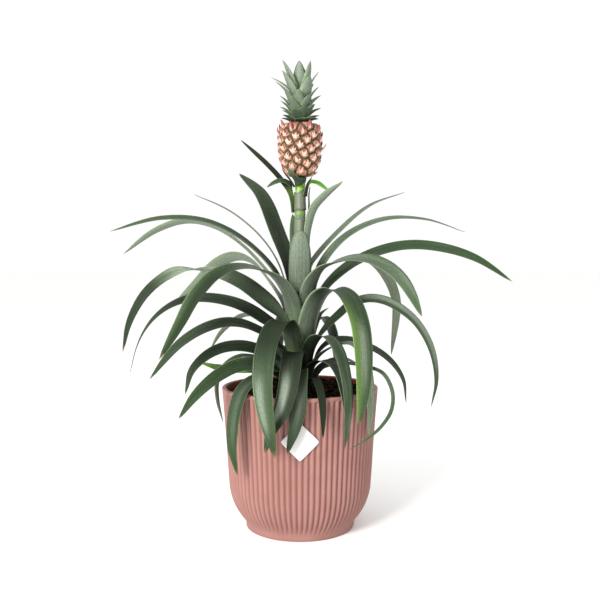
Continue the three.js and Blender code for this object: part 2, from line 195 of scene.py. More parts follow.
def stations_of(node):
    """Foot-to-tip stations of a CAD blade: (left, middle, right, depth) vectors."""
    rings, tip = rings_of(node)
    stations = [(r[0], r[1], r[2], r[4] - r[1]) for r in rings]
    return stations + [(tip, tip, tip, stations[-1][3] * 0.5)]


def blade_skin(bm, stations, seed, columns, row_length, ripple, tones):
    """A closed, lens-sectioned blade through the stations. Layer blade_mm holds millimetres across and
    along, and 0 on the upper side, 1 on the underside and 0.5 on the rim; layer blade_share holds
    -1 to 1 across, 0 to 1 along, and the seed; layer blade_tone holds how lime green, how dark
    (darker green and painted shade) and how pale (thick bloom and painted sheen) the blade is, from
    tones(across, along)."""
    vectors = bm.verts.layers.float_vector
    in_mm, share, toned = (vectors.get(layer) or vectors.new(layer) for layer in BLADE_LAYERS)
    knots = [0.0]
    for one, two in zip(stations, stations[1:]):
        knots.append(knots[-1] + (two[1] - one[1]).length)
    total = knots[-1]
    last = len(stations) - 1

    def slope(k, part):
        low, high = max(k - 1, 0), min(k + 1, last)
        return (stations[high][part] - stations[low][part]) / (knots[high] - knots[low])

    def station_at(s):
        d = s * total
        k = min(next((i for i in range(last) if d <= knots[i + 1]), last - 1), last - 1)
        h = knots[k + 1] - knots[k]
        t = min((d - knots[k]) / h, 1)
        parts = []
        for part in range(4):
            a, b = stations[k][part], stations[k + 1][part]
            parts.append(a * (2 * t**3 - 3 * t**2 + 1) + b * (3 * t**2 - 2 * t**3)
                         + slope(k, part) * (h * (t**3 - 2 * t**2 + t))
                         + slope(k + 1, part) * (h * (t**3 - t**2)))
        return parts

    rows = max(10, round(total / row_length))
    made = bmesh.ops.create_grid(bm, x_segments=2 * columns, y_segments=rows, size=1)["verts"]
    cache = {}
    for vertex in made:
        c = (vertex.co.x + 1) / 2
        s = min(max((vertex.co.y + 1) / 2, 0), 1)
        key = round(s, 5)
        if key not in cache:
            cache[key] = station_at(s)
        left, middle, right, depth = cache[key]
        v = 4 * c - 1 if c <= 0.5 else 3 - 4 * c
        half = (right - left) / 2
        place = middle + half * v + ((left + right) / 2 - middle) * v * v
        bulge = 0.5 * (1 - abs(v) ** LENS_SHARPNESS)
        place = place + depth * (0.5 - bulge if c <= 0.5 else 0.5 + bulge)
        waver = noise.noise(Vector((s * total / WAVE_LENGTH, seed * 3.7, math.copysign(5, v))))
        lift = ripple * waver * v * v * min(1, 5 * s) * (1 - s)
        place -= depth.normalized() * lift
        vertex.co = place
        under = 0.5 if abs(v) > RIM_FROM else (0 if c <= 0.5 else 1)
        vertex[in_mm] = Vector((half.length * v / MM, s * total / MM, under))
        vertex[share] = Vector((v, s, seed))
        vertex[toned] = Vector(tones(v, s))
    bmesh.ops.remove_doubles(bm, verts=made, dist=BLADE_WELD)
    alive = [v for v in made if v.is_valid]
    rim = {e for v in alive for e in v.link_edges if e.is_boundary}
    bmesh.ops.edgeloop_fill(bm, edges=list(rim))


# -------- leaf finishes

# colours that every leaf finish shares
WAX_BLOOM = "#838f79"
# thick bloom and painted sheen
POWDER_AND_SHEEN_GREY = "#929d8b"
LIME_PART = "#6b8f3a"
# darker green and painted shade
DARK_GREEN_AND_SHADE = "#101b0b"
PALE_MARGIN = "#8a9a76"
DRY_TIP = "#6d5c3c"
# pattern steps to the millimetre, across and along a blade
VEIN_SCALE = (1.05, 0.025, 0)
PATCH_SCALE = (0.12, 0.022, 0)
FRECKLE_SCALE = (0.9, 0.45, 0)
# how far apart in the noise two blades with neighbouring seeds lie
SEED_STEP = (0, 0, 11)


def leaf_material(name, body, channel, fresh, under, bloom, freshness=0.8, streaks=0.3):
    """A waxy strap leaf: its channel darker, fresher green towards the tip, a powdery grey bloom that
    lies along the veins and wears thin in patches, a duller underside that is partly painted shade,
    a thin pale margin and a dry tip. Its tones lay on lime parts, darker green with painted shade,
    and thick bloom with painted sheen. Its own sheen is broken into streaks by the veins."""
    material, tree = new_material(name)
    in_mm, share, tone = (
        add(tree, "Attribute", attribute_name=layer, out="Vector") for layer in BLADE_LAYERS)
    # the tones: lime green, dark (painted shade with some darker green) and pale (thick bloom and
    # painted sheen)
    lime, deep, powder_and_sheen = add(tree, "SeparateXYZ", {0: tone}, out=slice(0, 3))
    across, along = add(tree, "SeparateXYZ", {0: share}, out=slice(0, 2))
    side = add(tree, "SeparateXYZ", {0: in_mm}, out=2)
    apart = add(tree, "VectorMath", {0: share, 1: SEED_STEP}, operation="MULTIPLY")
    # veins run the length of the blade; real ones are 0.5 mm apart, drawn 1 mm apart so that they show
    fine = add(tree, "VectorMath", {0: in_mm, 1: VEIN_SCALE, 2: apart}, operation="MULTIPLY_ADD")
    veins = add(tree, "TexNoise", {"Vector": fine, "Scale": 1.0, "Detail": 4.0, "Roughness": 0.7})
    # the bloom wears off in patches some 8 mm wide and 45 mm long
    broad = add(tree, "VectorMath", {0: in_mm, 1: PATCH_SCALE, 2: apart}, operation="MULTIPLY_ADD")
    patches = add(tree, "TexNoise", {"Vector": broad, "Scale": 1.0, "Detail": 4.0, "Roughness": 0.55})
    off_middle = add(tree, "Math", {0: across}, operation="ABSOLUTE")
    in_channel = add(tree, "MapRange", {0: off_middle, 1: 0.1, 2: 0.8, 3: 0.9, 4: 0.0}, **EASED)
    to_tip = add(tree, "MapRange", {0: along, 1: 0.3, 2: 1.0, 3: 0.15, 4: 1.0}, **EASED)
    at_rim = add(tree, "MapRange", {0: off_middle, 1: 0.88, 2: 0.95, 3: 0.0, 4: 0.75}, **EASED)
    greener = add(tree, "MapRange", {0: patches, 1: 0.35, 2: 0.65, 3: 0.35 * freshness, 4: freshness})
    greener = add(tree, "Math", {0: greener, 1: to_tip}, operation="MULTIPLY")
    dusty = add(tree, "MapRange", {0: veins, 1: 0.3, 2: 0.72, 3: 0.25, 4: 1.0})
    worn = add(tree, "MapRange", {0: patches, 1: 0.38, 2: 0.62, 3: bloom, 4: 0.35 * bloom})
    dusty = add(tree, "Math", {0: dusty, 1: worn}, operation="MULTIPLY")
    # the underside's colour: its own duller green, partly painted shade
    below = add(tree, "Mix", {0: greener, 6: paint(under), 7: paint(body)}, **COLOURS)
    # paler grey where the bloom lies thick and where a sheen is painted, streaked by the veins
    powdery = add(tree, "MapRange", {0: veins, 1: 0.3, 2: 0.65, 3: 0.75, 4: 1.1})
    powdery = add(tree, "Math", {0: powdery, 1: powder_and_sheen}, operation="MULTIPLY")
    # from the skin outwards: how much, and the colour laid on
    colour = paint(body)
    for amount, laid_on in (
            (in_channel, paint(channel)), (greener, paint(fresh)), (dusty, paint(WAX_BLOOM)),
            (side, below), (lime, paint(LIME_PART)), (powdery, paint(POWDER_AND_SHEEN_GREY)),
            (at_rim, paint(PALE_MARGIN))):
        colour = add(tree, "Mix", {0: amount, 6: colour, 7: laid_on}, **COLOURS)
    streaked = add(tree, "MapRange",
                   {0: veins, 1: 0.25, 2: 0.75, 3: 1 - streaks, 4: 1 + 0.8 * streaks})
    colour = add(tree, "VectorMath", {0: colour, 3: streaked}, operation="SCALE")
    # scales of wax about 1 mm wide and 2 mm long freckle the blade
    freckles = add(tree, "VectorMath", {0: in_mm, 1: FRECKLE_SCALE, 2: apart},
                   operation="MULTIPLY_ADD")
    freckles = add(tree, "TexNoise",
                   {"Vector": freckles, "Scale": 1.0, "Detail": 2.0, "Roughness": 0.7})
    freckles = add(tree, "MapRange", {0: freckles, 1: 0.35, 2: 0.65, 3: 0.82, 4: 1.18})
    colour = add(tree, "VectorMath", {0: colour, 3: freckles}, operation="SCALE")
    # darker green and painted shade, laid over all but the dry tip
    colour = add(tree, "Mix", {0: deep, 6: colour, 7: paint(DARK_GREEN_AND_SHADE)}, **COLOURS)
    dry = add(tree, "MapRange", {0: along, 1: 0.965, 2: 0.995, 3: 0.0, 4: 0.8})
    colour = add(tree, "Mix", {0: dry, 6: colour, 7: paint(DRY_TIP)}, **COLOURS)
    matt = add(tree, "MapRange", {0: veins, 1: 0.3, 2: 0.7, 3: 0.34, 4: 0.58})
    matt = add(tree, "Math", {0: deep, 1: 0.4, 2: matt}, operation="MULTIPLY_ADD")
    ridged = add(tree, "Bump", {"Height": veins, "Strength": 0.6, "Distance": 0.3 * MM})
    finish_material(tree, Base_Color=colour, Roughness=matt, Normal=ridged, IOR=1.4,
                    Specular_IOR_Level=0.3)
    return material


# colours: body, channel, fresh green, underside
leaf_finishes = {
    # grown leaf with its wax bloom whole: soft grey green
    "leaf_grey": leaf_material("waxy_leaf_bloomed", "#465643", "#2c3a29", "#31501f", "#323e2b",
                               bloom=0.5),
    # grown leaf rubbed nearly clean: deep, glossier green
    "leaf_green": leaf_material("waxy_leaf_green", "#22351d", "#16240f", "#234311", "#242e1f",
                                bloom=0.16, freshness=1.0),
    # the same leaf low in the rosette, with painted shade: almost black green
    "leaf_dark": leaf_material("waxy_leaf_shaded", "#182516", "#080e07", "#1d3612", "#1c2518",
                               bloom=0.16),
    # leaf that shows its underside: pale, grey and powdery
    "leaf_pale": leaf_material("leaf_underside_powdery", "#626e5c", "#525e4b", "#56674a", "#68745f",
                               bloom=0.5, freshness=0.5),
    # young leaf with hardly any bloom yet: bright yellow green
    "leaf_lime": leaf_material("young_leaf_lime", "#4d8226", "#3a6a1b", "#63982e", "#6f964a",
                               bloom=0.06),
}


# -------- leaves and stalk bracts

# where a blade is lime green: how much, at v (-1 to 1 across) and s (0 to 1 along)
FRESH_PARTS = {
    "leaf_01": lambda v, s: 0.9 * band(0.02, 0.06, 0.2, 0.34, s),
    "leaf_18": lambda v, s: 0.8 * smooth(0.36, 0.6, s) * smooth(-0.55, 0.85, -v),
    "leaf_33": lambda v, s: 0.95 * smooth(0.42, 0.56, s),
    "leaf_13": lambda v, s: 0.2 * smooth(0.35, 0.6, s) * smooth(0.8, 0.97, -v)
    + 0.2 * (1 - smooth(0.0, 0.15, s)),
    "leaf_24": lambda v, s: 0.1 * smooth(0.6, 0.85, s) * smooth(0.0, 0.9, v)
    + 0.3 * (1 - smooth(0.0, 0.14, s)),
    "leaf_09": lambda v, s: 0.12 * smooth(0.3, 0.7, s) * smooth(0.6, 0.95, abs(v)),
    "leaf_38": lambda v, s: 0.12 * smooth(0.5, 0.8, s) * smooth(0.3, 0.9, abs(v)),
}
# where a blade is darker green than its finish: partly its own darker green, partly painted shade
DARK_AND_SHADED_PARTS = {
    "leaf_01": lambda v, s: 0.55 * smooth(0.3, 0.42, s),
    "leaf_13": lambda v, s: 0.75 * smooth(0.42, 0.6, s) * smooth(-1.0, 0.1, v),
    "leaf_17": lambda v, s: 0.85 * smooth(0.6, 0.72, s),
    "leaf_20": lambda v, s: 0.25,
    "leaf_24": lambda v, s: 0.8 * band(0.16, 0.26, 0.45, 0.65, s)
    + 0.5 * smooth(0.8, 0.95, s) + 0.35 * smooth(0.1, 0.6, v) * band(0.5, 0.7, 0.8, 0.95, s),
    "leaf_27": lambda v, s: 0.3,
    "leaf_30": lambda v, s: max(0.95 * (1 - smooth(0.3, 0.5, s)), 0.6 * smooth(0.0, 0.5, v)),
    "leaf_36": lambda v, s: 0.25,
    "leaf_38": lambda v, s: 0.4,
    "leaf_39": lambda v, s: 0.3,
    "leaf_41": lambda v, s: 0.92,
    "leaf_34": lambda v, s: 0.4,
    "leaf_35": lambda v, s: 0.3 * smooth(0.3, 0.6, s),
}
# where a blade is paler grey: partly thick bloom, partly painted sheen and highlights
POWDER_AND_SHEEN_PARTS = {
    "leaf_02": lambda v, s: 0.2,
    "leaf_04": lambda v, s: 0.3,
    "leaf_07": lambda v, s: 0.4,
    "leaf_09": lambda v, s: 0.4 * smooth(0.0, 0.4, v) * (1 - smooth(0.5, 0.75, s)),
    "leaf_10": lambda v, s: 0.25 * (1 - smooth(0.2, 0.4, s)),
    "leaf_13": lambda v, s: 0.2 * (1 - smooth(0.3, 0.5, s)),
    "leaf_17": lambda v, s: 0.6 * band(0.35, 0.45, 0.55, 0.65, s),
    "leaf_18": lambda v, s: 0.3 * (1 - smooth(0.14, 0.3, s))
    + 0.45 * band(0.5, 0.62, 0.75, 0.9, s) * band(-0.4, 0.0, 0.3, 0.7, v),
    "leaf_22": lambda v, s: 0.45 * smooth(0.25, 0.45, s) * smooth(-0.3, 0.3, v)
    * (1 - smooth(0.75, 0.9, s)),
    "leaf_24": lambda v, s: 0.15 * (1 - smooth(0.1, 0.26, s))
    + 0.42 * band(0.6, 0.72, 0.84, 0.94, s) * band(-0.9, -0.6, -0.4, 0.1, v),
    "leaf_30": lambda v, s: 0.55 * band(0.48, 0.62, 0.76, 0.9, s) * band(-0.8, -0.5, -0.2, 0.3, v),
    "leaf_38": lambda v, s: 0.22 * band(0.3, 0.5, 0.7, 0.9, s) * (1 - smooth(0.1, 0.6, abs(v))),
    "leaf_39": lambda v, s: 0.2 * band(0.4, 0.6, 0.7, 0.9, s) * (1 - smooth(0.1, 0.6, abs(v))),
}
# painted shade on a blade's foot, where it lies between its neighbours; one not named takes the low
# share where it leaves the stem below LOW_FEET, and the high share above
LEAF_FOOT_SHADE = {
    "leaf_04": 0.0, "leaf_05": 0.3, "leaf_10": 0.1, "leaf_11": 0.4, "leaf_13": 0.0, "leaf_17": 0.3,
    "leaf_18": 0.0, "leaf_20": 0.5, "leaf_22": 0.4, "leaf_24": 0.0, "leaf_27": 0.4, "leaf_30": 0.7,
}
LOW_FOOT_SHADE = 0.65
HIGH_FOOT_SHADE = 0.15
LOW_FEET = 160 * MM
# leaves that furl past their bend, and the share of their full width that is left there
FURLED = {"leaf_13": 0.88, "leaf_14": 0.85, "leaf_15": 0.82, "leaf_17": 0.72, "leaf_36": 0.72}


def furled(stations, share):
    """A blade's stations drawn in, a fifth to half of the way along, to a share of their width."""
    drawn = []
    for index, (left, middle, right, depth) in enumerate(stations):
        keep = 1 - (1 - share) * smooth(0.2, 0.5, index / (len(stations) - 1))
        drawn.append((middle + (left - middle) * keep, middle, middle + (right - middle) * keep, depth))
    return drawn


def leaf_tones(node, low):
    """How lime green, how dark (darker green and painted shade) and how pale (thick bloom and painted
    sheen) a leaf or bract is at a share across and along it.
    """
    bare = lambda v, s: 0.0
    lime = FRESH_PARTS.get(node, bare)
    # darker green, partly painted shade
    dark = DARK_AND_SHADED_PARTS.get(node, bare)
    # paler grey, partly painted sheen
    powder_and_sheen = POWDER_AND_SHEEN_PARTS.get(node, bare)
    # painted shade on the foot, fading out by a little over half the blade's length
    foot = LEAF_FOOT_SHADE.get(node, LOW_FOOT_SHADE if low else HIGH_FOOT_SHADE)

    def tones(v, s):
        return lime(v, s), max(foot * (1 - smooth(0.12, 0.55, s)), dark(v, s)), powder_and_sheen(v, s)

    return tones


blade_nodes = sorted(n for n in nodes if n.startswith(("leaf_", "fruit_bract_")))
for index, node in enumerate(blade_nodes):
    bm = bmesh.new()
    small = node.startswith("fruit_bract_")
    stations = furled(stations_of(node), FURLED.get(node, 1.0))
    low = stations[0][1].z < LOW_FEET
    columns, row_length, ripple = (6, 1.5, 0.2) if small else (9, 3.5, 0.8)
    blade_skin(bm, stations, index + 1, columns, row_length * MM, ripple * MM, leaf_tones(node, low))
    make_piece(node + "_blade", bm, leaf_finishes[slot_of[node]], slot_of[node], node)


# -------- pot

# millimetres
RIBS = 80
RIB_DEPTH = 1.8
RIB_ROUNDNESS = 1.1     # 1 is a half-round crest; more makes it narrower
STEPS_PER_RIB = 8
RIBS_START = (4, 14)            # heights between which the grooves run in above the foot
RIBS_END = (122.2, 123.6)       # and run out under the lip
LIP_INSIDE = 125                # the painted shade on the inner wall stops here
OUTER_SKIN = 0.6                # a corner further in than this is on the inner wall
INNER_WALL = 2                  # the groove attribute there
# (radius, height)
POT_OUTSIDE = [
    (47.8, 0.0), (48.5, 0.5), (48.7, 2), (49, 5), (49.8, 6.8), (51.5, 9), (53.8, 12), (56.2, 15.5),
    (58.8, 20), (61, 25), (62.6, 30.5), (63.8, 36), (64.6, 48), (65.5, 62), (66.4, 76), (67.4, 90),
    (68.4, 104), (69.2, 114), (69.5, 117), (69.7, 119.5), (69.8, 121.4), (69.85, 122.1),
    (69.9, 122.6), (69.95, 123.1), (70, 123.6), (70, 124.2), (70, 125), (69.8, 125.6), (69.3, 126),
    (68.4, 126.1),
]
POT_INSIDE = [
    (67, 126), (66.4, 125.6), (66.2, 124.8), (66.1, 120), (65.4, 110), (60.8, 40), (54, 19), (46, 8),
    (40, 4),
]


def rib_depth_at(height):
    """How deep the grooves are cut: nothing on the foot, full up the side, run out under the lip."""
    return RIB_DEPTH * smooth(*RIBS_START, height) * (1 - smooth(*RIBS_END, height))


def build_pot():
    """The wall and floor in one spin, with the grooves pressed in. Layer groove holds 0 on the crests
    and 1 at the bottom of a groove."""
    bm = bmesh.new()
    grooved = bm.verts.layers.float.new("groove")
    spun(bm, [(0, 0)] + POT_OUTSIDE + POT_INSIDE + [(0, 4)], RIBS * STEPS_PER_RIB)
    outer = [(z, r) for r, z in POT_OUTSIDE]
    for vertex in bm.verts:
        height, reach = vertex.co.z / MM, math.hypot(vertex.co.x, vertex.co.y) / MM
        if height <= 0 or reach < between(outer, height) - OUTER_SKIN:
            vertex[grooved] = INNER_WALL if height < LIP_INSIDE else 0
            continue
        turn = math.atan2(vertex.co.y, vertex.co.x) * RIBS / 2
        cut = (1 - abs(math.cos(turn)) ** RIB_ROUNDNESS) * rib_depth_at(height)
        vertex[grooved] = cut / RIB_DEPTH
        vertex.co.xy *= 1 - cut / reach
    return bm


def pot_material():
    """Injection moulded polypropylene in dusty pink: matte, with a fine even grain and faint clouds of
    tone; painted shade darkens the grooves and makes the inner wall darker and redder."""
    material, tree = new_material("moulded_polypropylene_dusty_pink")
    place = add(tree, "TexCoord", out="Object")
    groove = add(tree, "Attribute", attribute_name="groove", out="Fac")
    # cloudy tone shifts about 25 mm across, and a 0.6 mm moulded grain
    cloudy = add(tree, "TexNoise", {"Vector": place, "Scale": 40.0, "Detail": 4.0, "Roughness": 0.6})
    grain = add(tree, "TexNoise", {"Vector": place, "Scale": 1600.0, "Detail": 2.0})
    shift = add(tree, "MapRange", {0: cloudy, 1: 0.3, 2: 0.7, 3: 0.0, 4: 1.0})
    # painted shade: darker at the bottom of the grooves, darker and redder on the inner wall
    deep = add(tree, "MapRange", {0: groove, 1: 0.25, 2: 1.0, 3: 0.0, 4: 0.6}, **EASED)
    inner = add(tree, "MapRange", {0: groove, 1: 1.2, 2: 1.9, 3: 0.0, 4: 1.0})
    colour = paint("#8b625a")
    for amount, laid_on in ((shift, "#946b63"), (deep, "#6a392f"), (inner, "#7c2f1c")):
        colour = add(tree, "Mix", {0: amount, 6: colour, 7: paint(laid_on)}, **COLOURS)
    speckle = add(tree, "MapRange", {0: grain, 1: 0.3, 2: 0.7, 3: 0.94, 4: 1.05})
    colour = add(tree, "VectorMath", {0: colour, 3: speckle}, operation="SCALE")
    matt = add(tree, "MapRange", {0: grain, 1: 0.3, 2: 0.7, 3: 0.5, 4: 0.66})
    pebbled = add(tree, "Bump", {"Height": grain, "Strength": 0.35, "Distance": 0.1 * MM})
    finish_material(tree, Base_Color=colour, Roughness=matt, Normal=pebbled, IOR=1.49,
                    Specular_IOR_Level=0.3)
    return material


make_piece("pot_ribbed", build_pot(), pot_material(), "pot", "pot")


# -------- potting soil

# millimetres; the side is (radius, height), the top (distance from the stem, height)
SOIL_EDGE = 65.0
SOIL_SIDE = [(39, 4.4), (45, 8.5), (53.2, 19.5), (59.9, 40.4), (64.6, 110), (SOIL_EDGE, 115.2)]
SOIL_TOP = [(8.9, 122.4), (20, 122.4), (44, 119.6), (SOIL_EDGE, 116.8)]
SURFACE_FROM = 116      # everything above this is the crumbly surface
SURFACE_RINGS = 42
RING_GAP = 1.35
HEAP = 6                # how much higher the soil lies at the back
CRUMBS = 950
CRUMB_RADII = (0.6, 0.8, 1.0, 1.3, 1.8)
FIBRES = 170
FIBRE_TONE = 1.6        # the crumb_tone attribute on a fibre; crumbs have 0.15 to 1


def soil_height(x, y):
    """Height of the crumbly surface above a point, in mm; it is heaped higher at the back."""
    reach = math.hypot(x, y)
    return (between(SOIL_TOP, reach)
            + HEAP * smooth(5, 40, y) * (1 - smooth(58, 64, reach))
            + 1.1 * noise.noise(Vector((x / 9, y / 9, 1.5))) * min(1, (65.6 - reach) / 4)
            + 0.7 * noise.noise(Vector((x / 2.6, y / 2.6, 7.5))))


def build_soil():
    """The body of soil under an uneven surface, with loose crumbs and fibres lying on it."""
    bm = bmesh.new()
    top = [(SOIL_EDGE - RING_GAP * k, SURFACE_FROM + 0.3) for k in range(SURFACE_RINGS)]
    spun(bm, [(0, 4.4)] + SOIL_SIDE + top + [(0, 119)], 220)
    for vertex in bm.verts:
        if vertex.co.z > SURFACE_FROM * MM:
            x, y = vertex.co.x / MM, vertex.co.y / MM
            vertex.co.z = soil_height(x, y) * MM
    tone = bm.verts.layers.float.new("crumb_tone")
    for _ in range(CRUMBS):
        reach, bearing = 63.5 * math.sqrt(chance.uniform(0.02, 1)), chance.uniform(0, TURN)
        x, y = reach * math.cos(bearing), reach * math.sin(bearing)
        size = chance.choice(CRUMB_RADII)
        shape = Matrix.Translation(Vector((x, y, soil_height(x, y) + 0.25 * size)) * MM)
        shape @= Euler([chance.uniform(0, TURN) for _ in range(3)]).to_matrix().to_4x4()
        stretch = (chance.uniform(0.7, 1.3), chance.uniform(0.6, 1.1), chance.uniform(0.5, 0.9), 1)
        shape @= Matrix.Diagonal(stretch)
        crumb = bmesh.ops.create_icosphere(bm, subdivisions=1, radius=size * MM, matrix=shape)["verts"]
        shade = chance.random()
        for vertex in crumb:
            vertex[tone] = 0.15 + 0.85 * shade
    for _ in range(FIBRES):
        reach, bearing = 62 * math.sqrt(chance.uniform(0.02, 1)), chance.uniform(0, TURN)
        x, y = reach * math.cos(bearing), reach * math.sin(bearing)
        length = chance.uniform(3, 8)
        lie = Matrix.Translation(Vector((x, y, soil_height(x, y) + 0.7)) * MM)
        lie @= Matrix.Rotation(chance.uniform(0, TURN), 4, "Z")
        lie @= Matrix.Rotation(math.radians(90 + chance.uniform(-14, 14)), 4, "Y")
        fibre = bmesh.ops.create_cone(bm, cap_ends=True, segments=5, radius1=0.3 * MM,
                                      radius2=0.12 * MM, depth=length * MM, matrix=lie)["verts"]
        for vertex in fibre:
            vertex[tone] = FIBRE_TONE
    return bm


def soil_material():
    """Moist peat and bark: near black and dull, with brown crumbs, specks of bark and straw-coloured
    fibres."""
    material, tree = new_material("peat_and_bark_moist")
    place = add(tree, "TexCoord", out="Object")
    tone = add(tree, "Attribute", attribute_name="crumb_tone", out="Fac")
    # lumps 2 mm across and flecks of 1.4 mm
    lumps = add(tree, "TexNoise", {"Vector": place, "Scale": 520.0, "Detail": 5.0, "Roughness": 0.7})
    flecks = add(tree, "TexVoronoi", {"Vector": place, "Scale": 700.0})
    brown = add(tree, "MapRange", {0: lumps, 1: 0.58, 2: 0.8, 3: 0.0, 4: 0.6})
    crumbly = add(tree, "MapRange", {0: tone, 1: 0.5, 2: 1.0, 3: 0.0, 4: 0.3})
    straw = add(tree, "MapRange", {0: tone, 1: 1.2, 2: 1.5, 3: 0.0, 4: 0.8})
    # bark specks 0.9 mm across
    specks = add(tree, "TexNoise", {"Vector": place, "Scale": 1100.0, "Detail": 2.0})
    specks = add(tree, "MapRange", {0: specks, 1: 0.6, 2: 0.68, 3: 0.0, 4: 0.8})
    colour = paint("#040302")
    for amount, laid_on in (
            (brown, "#18110c"), (crumbly, "#1a130e"), (straw, "#6b4a2e"), (specks, "#7a4a2c")):
        colour = add(tree, "Mix", {0: amount, 6: colour, 7: paint(laid_on)}, **COLOURS)
    rough = add(tree, "Math", {0: lumps, 1: flecks}, operation="ADD")
    lumpy = add(tree, "Bump", {"Height": rough, "Strength": 0.8, "Distance": 0.8 * MM})
    finish_material(tree, Base_Color=colour, Roughness=0.95, Normal=lumpy, IOR=1.35,
                    Specular_IOR_Level=0.1)
    return material


make_piece("soil_crumbly", build_soil(), soil_material(), "potting_soil", "potting_soil")


# -------- fruit

# millimetres: (height, radius) of the barrel's mean surface
FRUIT_PROFILE = [
    (313.6, 6.0), (314.2, 10.0), (316, 12.0), (320, 14.2), (325, 16.2), (330, 17.6), (336, 18.5),
    (342, 18.8), (347, 18.7), (352, 18.3), (356, 17.6), (358.6, 16.6), (359.6, 15.2),
]
EYES = 68
EYE_SIZE = 5.3          # from an eye's middle to its corner, which is 1 in the eye attribute
SEAM_DEPTH = 1.7
RIND_ROWS = 84
RIND_STEPS = 260
SMOOTH_TOP = 9.5        # no eyes within this radius of the axis
SPIKE_AT = (336, 0.05)  # height and bearing of the one eye whose scale stands out


def fruit_place(height, bearing, lift=0.0):
    """A point on the barrel, lift mm out from its mean surface."""
    reach = between(FRUIT_PROFILE, height) + lift
    return Vector((reach * math.cos(bearing), reach * math.sin(bearing), height)) * MM


def lay_out_eyes():
    """Eyes in one spiral at the golden angle, spaced so that each has the same share of the rind."""
    low, high = FRUIT_PROFILE[0][0] + 2, FRUIT_PROFILE[-1][0] - 1.6
    slices = [low + (high - low) * k / 200 for k in range(201)]
    area = [0.0]
    for z in slices[1:]:
        area.append(area[-1] + between(FRUIT_PROFILE, z))
    rows = list(zip(area, slices))
    return [(between(rows, area[-1] * (k + 0.5) / EYES), k * GOLDEN_ANGLE) for k in range(EYES)]


eyes = lay_out_eyes()
eye_tree = kdtree.KDTree(EYES)
for index, (height, bearing) in enumerate(eyes):
    eye_tree.insert(fruit_place(height, bearing), index)
eye_tree.balance()


def build_rind():
    """The barrel, swollen at each eye and pulled in along the seams. Layer eye holds how far a point
    is sideways and up from its eye, and how much nearer in mm it is to that eye than to the next."""
    bm = bmesh.new()
    local = bm.verts.layers.float_vector.new("eye")
    low, high = FRUIT_PROFILE[0][0], FRUIT_PROFILE[-1][0]
    heights = [low + (high - low) * k / RIND_ROWS for k in range(RIND_ROWS + 1)]
    side = [(between(FRUIT_PROFILE, z), z) for z in heights]
    top = high + 0.2
    spun(bm, [(0, low)] + side + [(12.5, top), (9, top), (0, top)], RIND_STEPS)
    for vertex in bm.verts:
        reach = math.hypot(vertex.co.x, vertex.co.y)
        if reach < SMOOTH_TOP * MM:
            vertex[local] = Vector()
            continue
        (near, index, first), (_, _, second) = eye_tree.find_n(vertex.co, 2)
        gap = (second - first) / MM
        bearing = math.atan2(near.y, near.x)
        offset = (vertex.co - near) / (EYE_SIZE * MM)
        sideways = -offset.x * math.sin(bearing) + offset.y * math.cos(bearing)
        vertex[local] = Vector((sideways, offset.z, gap))
        swell = smooth(0, 3.2, gap) + 0.35 * smooth(2, 6, gap)
        wrinkle = 0.16 * noise.noise(vertex.co / (1.1 * MM))
        lift = SEAM_DEPTH * (swell - 0.9) + wrinkle
        vertex.co.xy *= 1 + lift * MM / reach
    return bm


def rind_material():
    """Young pineapple rind: waxy salmon eyes mottled with cream, redder above, ringed with khaki and
    green and parted by dark brown seams."""
    material, tree = new_material("pineapple_rind_waxy")
    place = add(tree, "TexCoord", out="Object")
    eye = add(tree, "Attribute", attribute_name="eye", out="Vector")
    upward, gap = add(tree, "SeparateXYZ", {0: eye}, out=slice(1, 3))
    # mottling about 2 mm across, and rings that turn from khaki to green over some 7 mm
    mottle = add(tree, "TexNoise", {"Vector": place, "Scale": 480.0, "Detail": 3.0, "Roughness": 0.6})
    blush = add(tree, "TexNoise", {"Vector": place, "Scale": 150.0, "Detail": 2.0})
    high = add(tree, "MapRange", {0: upward, 1: -0.2, 2: 0.8, 3: 0.0, 4: 1.0}, **EASED)
    creamy = add(tree, "MapRange", {0: mottle, 1: 0.42, 2: 0.58, 3: 0.0, 4: 0.9})
    greenish = add(tree, "MapRange", {0: blush, 1: 0.5, 2: 0.65, 3: 0.0, 4: 0.7})
    ring = add(tree, "Mix", {0: greenish, 6: paint("#866a44"), 7: paint("#66703a")}, **COLOURS)
    near_edge = add(tree, "MapRange", {0: gap, 1: 1.7, 2: 3.4, 3: 0.9, 4: 0.0}, **EASED)
    # the seams wander by about half a millimetre
    waver = add(tree, "MapRange", {0: mottle, 1: 0.3, 2: 0.7, 3: -0.9, 4: 0.9})
    ragged = add(tree, "Math", {0: gap, 1: waver}, operation="ADD")
    seam = add(tree, "MapRange", {0: ragged, 1: 0.8, 2: 2.3, 3: 1.0, 4: 0.0}, **EASED)
    colour = paint("#9a5c4a")
    for amount, laid_on in ((creamy, paint("#be967c")), (high, paint("#7d3f36")),
                            (near_edge, ring), (seam, paint("#3a2b12"))):
        colour = add(tree, "Mix", {0: amount, 6: colour, 7: laid_on}, **COLOURS)
    pitted = add(tree, "Bump", {"Height": mottle, "Strength": 0.5, "Distance": 0.4 * MM})
    finish_material(tree, Base_Color=colour, Roughness=0.5, Normal=pitted, IOR=1.45)
    return material


